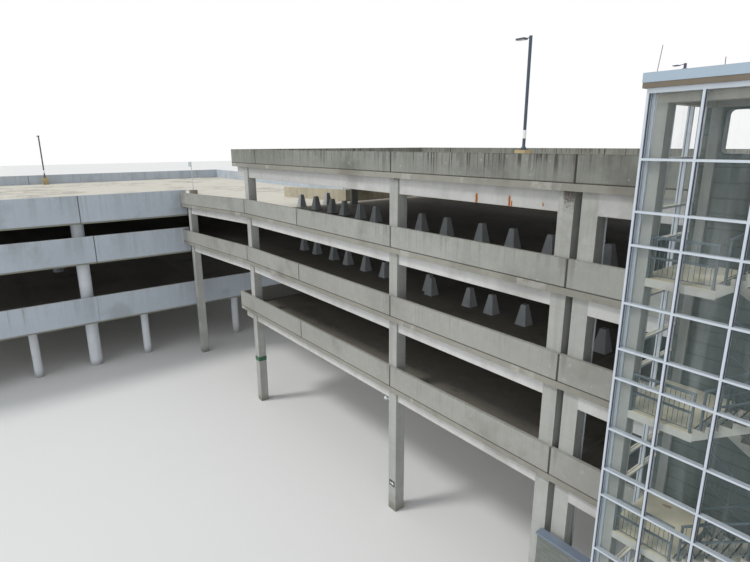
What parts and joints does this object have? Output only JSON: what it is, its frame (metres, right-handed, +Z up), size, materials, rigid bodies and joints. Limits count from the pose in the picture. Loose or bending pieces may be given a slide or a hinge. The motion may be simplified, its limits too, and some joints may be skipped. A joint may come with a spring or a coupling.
{
  "type": "multi storey car park, 1:10 scale model",
  "caption": "Open concrete car park in an L shaped plan: a main wing with a roof deck, a lower side wing on round columns and a glazed stair tower.",
  "frame": {"origin": "middle of the bounding box on the ground", "axes": "+X along the main wing towards the glazed stair tower, +Y from the yard into the main wing, +Z up"},
  "size_m": [9.077, 4.646, 2.522],
  "materials": {
    "deck_concrete": "broom finished concrete",
    "roof_concrete": "sun bleached concrete",
    "side_deck_concrete": "broom finished concrete",
    "parapet_concrete_low": "weathered concrete",
    "parapet_concrete_high": "weathered concrete",
    "parapet_concrete_roof": "streaked concrete",
    "beam_concrete": "painted concrete",
    "beam_concrete_roof": "painted concrete",
    "column_concrete": "painted concrete",
    "block_concrete": "cast concrete",
    "masonry": "painted block",
    "coping_metal": "satin",
    "camera_plastic": "gloss",
    "sign_metal": "satin",
    "band_metal": "satin",
    "band_concrete": "weathered concrete",
    "side_beam_concrete": "concrete",
    "round_concrete": "painted concrete",
    "post_foot_concrete": "cast concrete",
    "guide_sign_metal": "satin",
    "post_metal": "satin",
    "tower_aluminium": "anodised",
    "tower_glass": "clear",
    "tower_concrete": "cast concrete",
    "tower_wall_concrete": "ribbed concrete",
    "roof_band_metal": "satin",
    "fascia_metal": "satin",
    "stair_concrete": "cast concrete",
    "railing_paint": "satin",
    "pedestal_concrete": "cast concrete",
    "lamp_paint": "satin",
    "lamp_head_paint": "satin"
  },
  "bodies": {
    "root": {"arrow_sign": "sign_metal", "barrier_blocks": "block_concrete", "beams_1": "beam_concrete", "beams_2": "beam_concrete", "beams_3": "beam_concrete", "beams_roof": "beam_concrete_roof", "ceiling_camera": "camera_plastic", "column_band_sign": "band_metal", "columns_ground": "column_concrete", "columns_upper": "column_concrete", "deck_3_inner_wall": "parapet_concrete_high", "guide_post": "post_metal", "guide_post_foot": "post_foot_concrete", "guide_sign": "guide_sign_metal", "lamp_heads": "lamp_head_paint", "lamp_pedestals": "pedestal_concrete", "lamp_poles": "lamp_paint", "landing_railings": "railing_paint", "low_wall": "masonry", "low_wall_coping": "coping_metal", "main_deck_1": "deck_concrete", "main_deck_2": "deck_concrete", "main_deck_3": "deck_concrete", "main_roof_deck": "roof_concrete", "parapets_1": "parapet_concrete_low", "parapets_2": "parapet_concrete_low", "parapets_3": "parapet_concrete_high", "parapets_roof": "parapet_concrete_roof", "round_columns": "round_concrete", "side_bands_1": "band_concrete", "side_bands_2": "band_concrete", "side_bands_3": "band_concrete", "side_beams": "side_beam_concrete", "side_decks": "side_deck_concrete", "slim_columns": "round_concrete", "stair_railings": "railing_paint", "stair_steps": "stair_concrete", "stair_waists": "stair_concrete", "tower_back_wall": "tower_wall_concrete", "tower_columns": "tower_concrete", "tower_fascia": "fascia_metal", "tower_frame_front": "tower_aluminium", "tower_frame_sides": "tower_aluminium", "tower_glass": "tower_glass", "tower_head_beam": "tower_concrete", "tower_landings": "stair_concrete", "tower_roof_band": "roof_band_metal", "tower_thresholds": "stair_concrete"}
  },
  "joints": []
}
